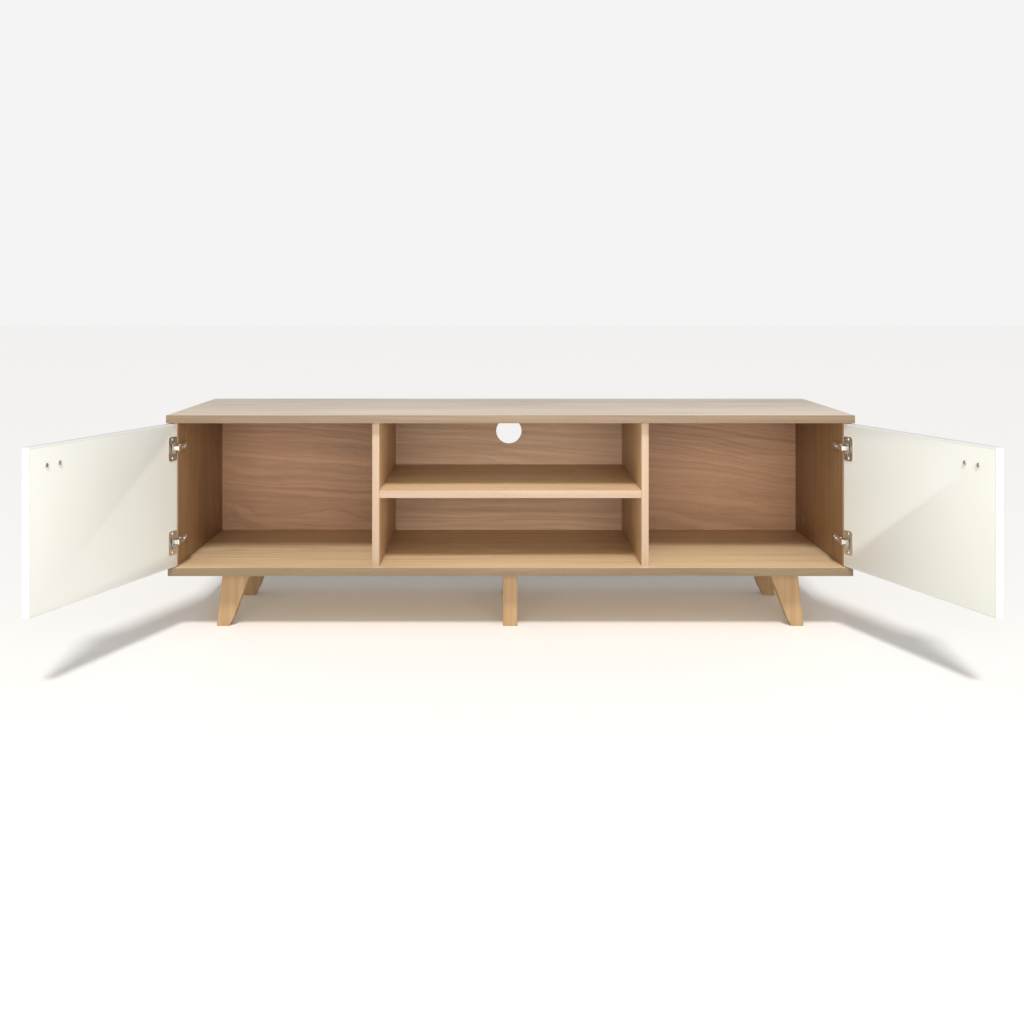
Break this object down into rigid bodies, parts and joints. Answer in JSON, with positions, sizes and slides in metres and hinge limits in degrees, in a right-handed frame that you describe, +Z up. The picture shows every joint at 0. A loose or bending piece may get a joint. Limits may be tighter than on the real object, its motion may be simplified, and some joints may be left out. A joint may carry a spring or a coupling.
{
  "type": "tv stand with doors",
  "caption": "Low wide media cabinet on splayed legs with two side-hinged doors, an open centre bay with a fixed shelf, and a round cable hole in the back.",
  "frame": {"origin": "on the floor, in the middle of the centre front leg's foot; the middle of the carcass's footprint is 125 mm behind it, at y = 0.125", "axes": "+Z up, -Y out of the front, +X to the right seen from the front"},
  "size_m": [1.6938, 0.7757, 0.445],
  "materials": {
    "oak_board": "light oak wood-grain laminate on particle board, satin",
    "side_back": "thin printed fibreboard, brown oak grain, matt",
    "centre_back": "thin printed fibreboard, light oak grain, matt",
    "oak_leg": "solid light oak, satin lacquer",
    "white_door": "white foil on fibreboard, smooth satin gloss",
    "hinge_nickel": "nickel-plated pressed steel",
    "plated_steel": "bright zinc-plated steel",
    "zinc": "die-cast zinc, dull",
    "beech": "plain beech dowel"
  },
  "bodies": {
    "cabinet": {"top_board": "oak_board", "bottom_board": "oak_board", "left_side_panel": "oak_board", "right_side_panel": "oak_board", "left_divider": "oak_board", "right_divider": "oak_board", "centre_shelf": "oak_board", "left_back_panel": "side_back", "centre_back_panel": "centre_back", "right_back_panel": "side_back", "left_front_leg": "oak_leg", "left_rear_leg": "oak_leg", "centre_front_leg": "oak_leg", "centre_rear_leg": "oak_leg", "right_front_leg": "oak_leg", "right_rear_leg": "oak_leg", "left_lower_hinge_arm": "hinge_nickel", "left_lower_hinge_plate": "hinge_nickel", "left_upper_hinge_arm": "hinge_nickel", "left_upper_hinge_plate": "hinge_nickel", "right_lower_hinge_arm": "hinge_nickel", "right_lower_hinge_plate": "hinge_nickel", "right_upper_hinge_arm": "hinge_nickel", "right_upper_hinge_plate": "hinge_nickel", "board_dowels": "beech", "cam_bolts": "plated_steel", "cam_locks": "zinc", "cam_covers": "oak_board", "back_panel_nails": "plated_steel", "leg_studs": "plated_steel", "leg_dowels": "beech", "leg_insert_nuts": "zinc", "hinge_arm_screws": "plated_steel", "hinge_plate_screws": "plated_steel"},
    "left_door_leaf": {"left_door": "white_door", "left_door_handle": "oak_leg", "left_door_handle_screws": "plated_steel", "left_hinge_cup_screws": "plated_steel", "left_lower_hinge_cup": "hinge_nickel", "left_upper_hinge_cup": "hinge_nickel", "left_lower_hinge_pin": "plated_steel", "left_upper_hinge_pin": "plated_steel"},
    "right_door_leaf": {"right_door": "white_door", "right_door_handle": "oak_leg", "right_door_handle_screws": "plated_steel", "right_hinge_cup_screws": "plated_steel", "right_lower_hinge_cup": "hinge_nickel", "right_upper_hinge_cup": "hinge_nickel", "right_lower_hinge_pin": "plated_steel", "right_upper_hinge_pin": "plated_steel"}
  },
  "joints": [
    {"name": "left_door_hinge", "type": "hinge", "parent": "cabinet", "child": "left_door_leaf", "pos_m": [-0.6888, -0.0646, 0.2815], "axis": [0, 0, 1], "range_deg": [0, 110]},
    {"name": "right_door_hinge", "type": "hinge", "parent": "cabinet", "child": "right_door_leaf", "pos_m": [0.6888, -0.0646, 0.2815], "axis": [0, 0, -1], "range_deg": [0, 110]}
  ]
}
